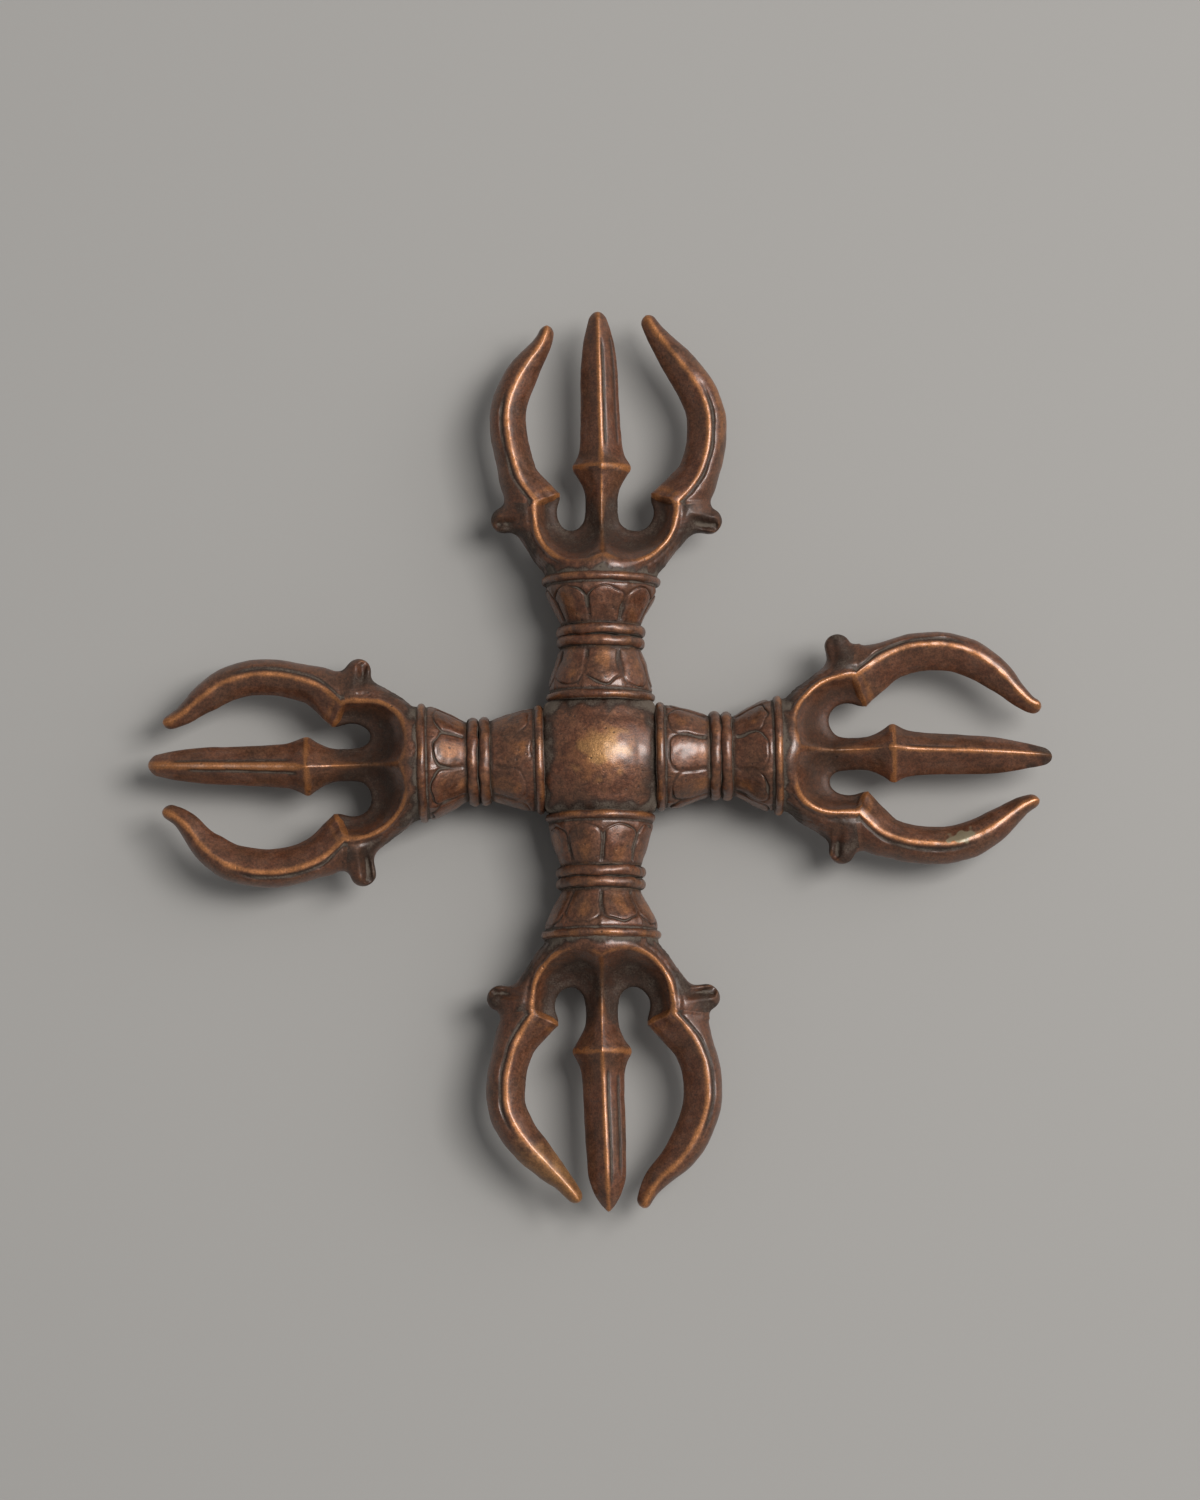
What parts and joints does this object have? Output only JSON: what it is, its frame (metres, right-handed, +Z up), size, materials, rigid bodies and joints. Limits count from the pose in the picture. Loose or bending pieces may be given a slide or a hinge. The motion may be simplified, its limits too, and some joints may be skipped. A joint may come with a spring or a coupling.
{
  "type": "crossed vajra",
  "caption": "Crossed ritual sceptre in patinated bronze: domed hub, arms of lotus cups and waist rings, and open heads with a straight blade between bowed blades; lies flat or is held.",
  "frame": {"origin": "on the resting surface, under the centre of the hub", "axes": "+X along the east arm and +Y along the north arm, each to within 1 degree, +Z up through the front dome of the hub"},
  "size_m": [0.15, 0.15, 0.02],
  "materials": {
    "cast_bronze": "dark brown patina, ridges rubbed to copper",
    "ring_bronze": "dark brown patina, crests rubbed to copper",
    "blade_bronze": "brown patina, ridges rubbed to copper",
    "spindle_bronze": "turned, hidden inside the arm"
  },
  "bodies": {
    "root": {"hub": "cast_bronze", "spindle_east": "spindle_bronze", "inner_lotus_east": "cast_bronze", "inner_ring_east": "ring_bronze", "outer_ring_east": "ring_bronze", "outer_lotus_east": "cast_bronze", "yoke_east": "cast_bronze", "centre_blade_east": "blade_bronze", "left_blade_east": "blade_bronze", "right_blade_east": "blade_bronze", "spindle_north": "spindle_bronze", "inner_lotus_north": "cast_bronze", "inner_ring_north": "ring_bronze", "outer_ring_north": "ring_bronze", "outer_lotus_north": "cast_bronze", "yoke_north": "cast_bronze", "centre_blade_north": "blade_bronze", "left_blade_north": "blade_bronze", "right_blade_north": "blade_bronze", "spindle_west": "spindle_bronze", "inner_lotus_west": "cast_bronze", "inner_ring_west": "ring_bronze", "outer_ring_west": "ring_bronze", "outer_lotus_west": "cast_bronze", "yoke_west": "cast_bronze", "centre_blade_west": "blade_bronze", "left_blade_west": "blade_bronze", "right_blade_west": "blade_bronze", "spindle_south": "spindle_bronze", "inner_lotus_south": "cast_bronze", "inner_ring_south": "ring_bronze", "outer_ring_south": "ring_bronze", "outer_lotus_south": "cast_bronze", "yoke_south": "cast_bronze", "centre_blade_south": "blade_bronze", "left_blade_south": "blade_bronze", "right_blade_south": "blade_bronze"}
  },
  "joints": []
}
